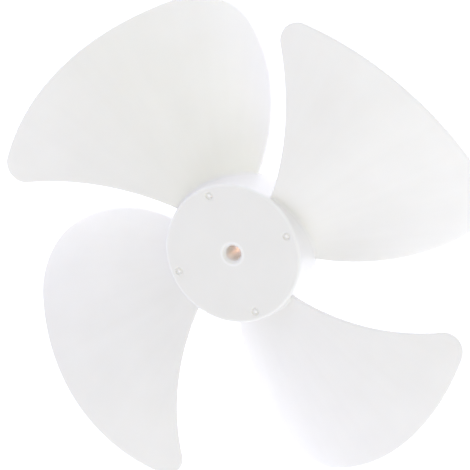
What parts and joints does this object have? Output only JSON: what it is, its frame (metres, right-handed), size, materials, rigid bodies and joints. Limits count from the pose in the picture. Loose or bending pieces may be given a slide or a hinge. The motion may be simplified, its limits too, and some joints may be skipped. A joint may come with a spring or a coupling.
{
  "type": "cooling fan blade",
  "caption": "White moulded axial fan with broad, swept and cambered blades on a cup hub, driven by a shaft bore with a cross-pin slot behind.",
  "frame": {"origin": "on the shaft axis, in the plane of the hub's closed front face", "axes": "+Z along the shaft axis, out of the hub's front face; +X to the right and +Y up when the front is seen as it is in the picture"},
  "size_m": [0.245, 0.245, 0.0541],
  "materials": {
    "white_plastic": "satin white moulded plastic"
  },
  "bodies": {
    "root": {"fan_blade": "white_plastic"}
  },
  "joints": []
}
